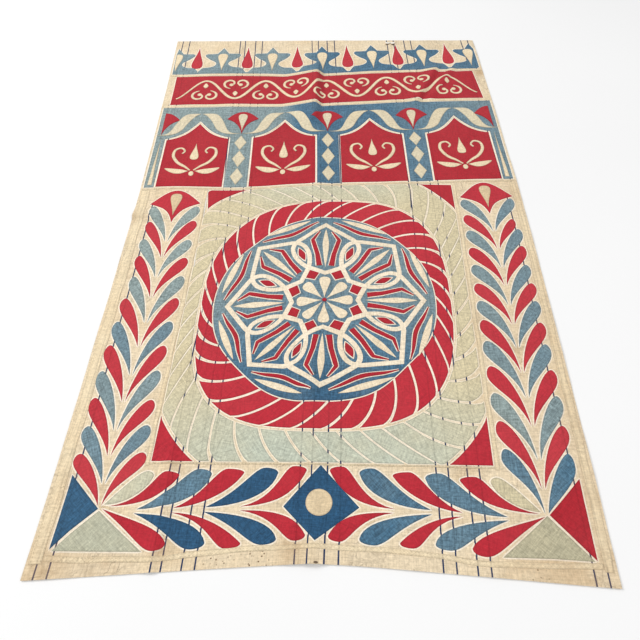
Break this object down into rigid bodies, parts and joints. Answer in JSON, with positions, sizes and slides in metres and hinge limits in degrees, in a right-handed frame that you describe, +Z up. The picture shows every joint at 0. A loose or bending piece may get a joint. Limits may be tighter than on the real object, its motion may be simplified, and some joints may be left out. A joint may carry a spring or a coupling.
{
  "type": "applique tent panel",
  "caption": "Flat cotton hanging sewn from narrow cloth lengths, with applique crests, an arcade of niches, a roped star medallion and leaf borders in red, blue, sage and cream.",
  "frame": {"origin": "middle of the panel's footprint, on the floor it lies on", "axes": "+X across the panel, +Y along it towards the head edge, +Z up from the floor"},
  "size_m": [1.6288, 2.652, 0.0309],
  "materials": {
    "ground_canvas": "plain woven cotton, unbleached",
    "cream_cotton": "plain woven cotton",
    "red_cotton": "dyed plain cotton",
    "blue_cotton": "faded indigo cotton",
    "deep_blue_cotton": "indigo cotton",
    "sage_cotton": "faded green cotton"
  },
  "bodies": {
    "root": {"ground_length_1": "ground_canvas", "ground_length_2": "ground_canvas", "ground_length_3": "ground_canvas", "ground_length_4": "ground_canvas", "outer_tape_left": "cream_cotton", "outer_tape_right": "cream_cotton", "outer_tape_foot": "cream_cotton", "inner_tape_left": "cream_cotton", "inner_tape_right": "cream_cotton", "inner_tape_foot": "cream_cotton", "arcade_tape": "cream_cotton", "band_tape": "cream_cotton", "crest_tape": "cream_cotton", "crest_band": "blue_cotton", "crest_drop_1": "red_cotton", "crest_drop_2": "red_cotton", "crest_drop_3": "red_cotton", "crest_drop_4": "red_cotton", "crest_drop_5": "red_cotton", "crest_drop_6": "red_cotton", "head_band": "red_cotton", "arcade_cloth": "blue_cotton", "niche_1": "red_cotton", "niche_2": "red_cotton", "niche_3": "red_cotton", "niche_4": "red_cotton", "ribbon_1": "cream_cotton", "ribbon_2": "cream_cotton", "ribbon_3": "cream_cotton", "ribbon_4": "cream_cotton", "arcade_tulip_1": "red_cotton", "arcade_tulip_2": "red_cotton", "arcade_tulip_3": "red_cotton", "arcade_tulip_4": "red_cotton", "arcade_tulip_5": "red_cotton", "sage_ring": "sage_cotton", "red_ring": "red_cotton", "medallion_disc": "blue_cotton", "star_strap": "cream_cotton", "spandrel_head_left": "red_cotton", "spandrel_head_right": "red_cotton", "spandrel_foot_left": "red_cotton", "spandrel_foot_right": "red_cotton", "border_tulip_left": "red_cotton", "border_tulip_right": "red_cotton", "gusset_left_side": "deep_blue_cotton", "gusset_left_foot": "sage_cotton", "gusset_right_side": "red_cotton", "gusset_right_foot": "sage_cotton", "foot_lozenge": "deep_blue_cotton", "lozenge_eye": "cream_cotton"}
  },
  "joints": []
}
